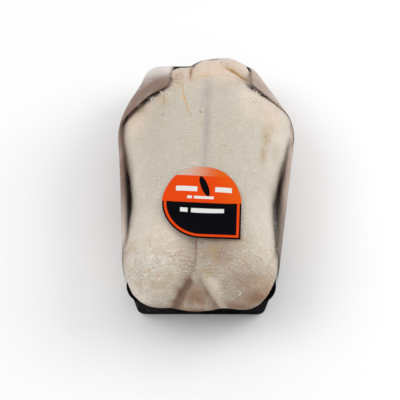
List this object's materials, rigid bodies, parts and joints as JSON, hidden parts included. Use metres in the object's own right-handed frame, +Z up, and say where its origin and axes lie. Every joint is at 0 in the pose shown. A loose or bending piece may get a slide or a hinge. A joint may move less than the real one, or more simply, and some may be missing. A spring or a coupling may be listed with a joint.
{
  "type": "whole raw duckling",
  "caption": "Whole raw duckling lying breast up on a black formed tray, under clear stretch film with a round paper label.",
  "frame": {"origin": "middle of the bounding box at its base, the plane that the pack stands on", "axes": "+Z up, out of the breast; +Y along the pack towards the neck end; +X across it, to the right seen from above with the neck end away"},
  "size_m": [0.1782, 0.3022, 0.1067],
  "materials": {
    "duckling": "moist pale skin",
    "tray": "black formed plastic",
    "film": "clear stretch film",
    "label": "printed paper, orange over black"
  },
  "bodies": {
    "root": {"duckling": "duckling", "tray": "tray", "film": "film", "label": "label"}
  },
  "joints": []
}
